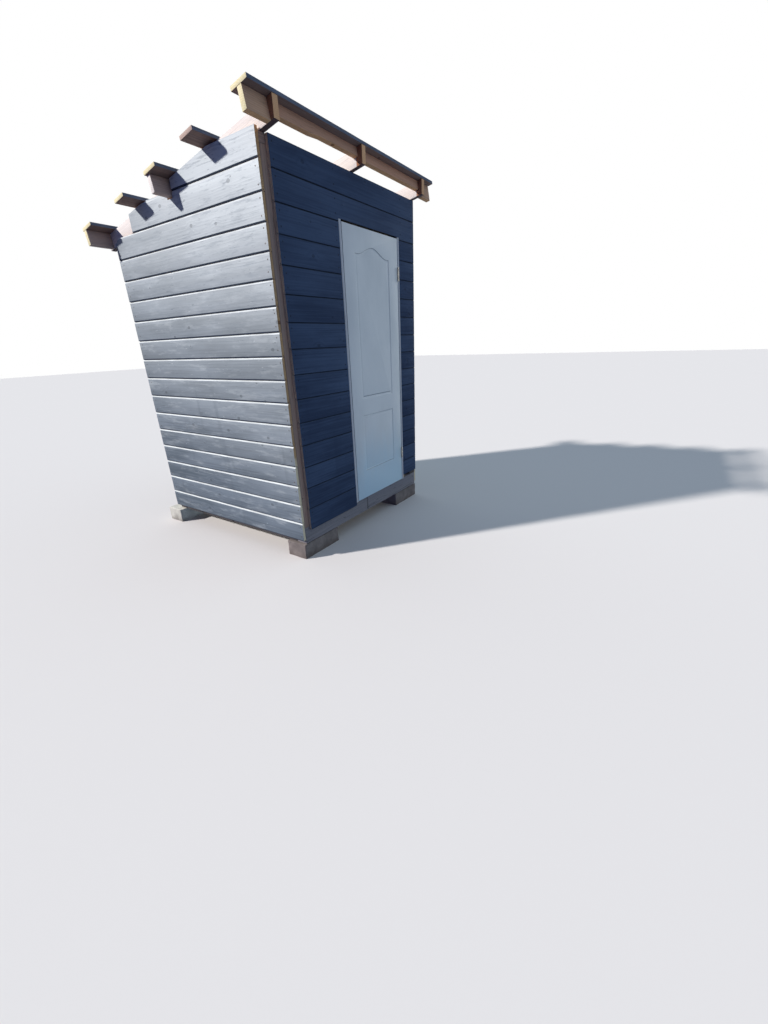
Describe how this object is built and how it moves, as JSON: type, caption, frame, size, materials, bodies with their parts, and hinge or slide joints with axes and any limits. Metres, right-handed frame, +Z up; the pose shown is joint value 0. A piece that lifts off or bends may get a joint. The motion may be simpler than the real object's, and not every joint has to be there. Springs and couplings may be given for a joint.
{
  "type": "wooden outhouse",
  "caption": "Small shed-roofed timber outhouse on concrete blocks, board cladding, bare roof frame of rafters and battens, hinged panel door.",
  "frame": {"origin": "on the floor plane under the middle of the whole outline", "axes": "+X to the right seen from the door side, +Y to the back, +Z up; the door faces -Y"},
  "size_m": [1.91, 1.907, 2.7024],
  "materials": {
    "concrete": "rough grey concrete block",
    "old_timber": "weathered grey sawn beam",
    "raw_timber": "raw sawn pine",
    "painted_boards": "graphite grey wood stain on tongue-and-groove boards",
    "white_leaf": "white moulded door leaf",
    "steel": "zinc-plated steel"
  },
  "bodies": {
    "frame": {"pier_front_left": "concrete", "pier_front_right": "concrete", "pier_back_left": "concrete", "pier_back_right": "concrete", "sill_front": "old_timber", "sill_back": "old_timber", "sill_left": "old_timber", "sill_right": "old_timber", "floor_joists": "raw_timber", "floor_boards": "raw_timber", "post_front_left": "raw_timber", "post_front_right": "raw_timber", "post_back_left": "raw_timber", "post_back_right": "raw_timber", "door_post_left": "raw_timber", "door_post_right": "raw_timber", "door_header": "raw_timber", "jamb_left": "raw_timber", "jamb_right": "raw_timber", "door_stops": "raw_timber", "stud_left": "raw_timber", "stud_right": "raw_timber", "stud_back": "raw_timber", "plate_front": "raw_timber", "plate_back": "raw_timber", "wall_left": "painted_boards", "wall_right": "painted_boards", "wall_back": "painted_boards", "front_left_of_door": "painted_boards", "front_right_of_door": "painted_boards", "front_over_door": "painted_boards", "rafter_left": "raw_timber", "rafter_middle": "raw_timber", "rafter_right": "raw_timber", "batten_front": "raw_timber", "batten_second": "raw_timber", "batten_middle": "raw_timber", "batten_fourth": "raw_timber", "batten_back": "raw_timber", "edge_boards_front": "raw_timber", "edge_boards_middle": "raw_timber", "edge_boards_back": "raw_timber", "hinges_on_jamb": "steel"},
    "door": {"door_leaf": "white_leaf", "hinges_on_leaf": "steel"}
  },
  "joints": [
    {"name": "door_hinge", "type": "hinge", "parent": "frame", "child": "door", "pos_m": [0.5455, -0.85747, 1.25], "axis": [0, 0, 1], "range_deg": [0, 110]}
  ]
}
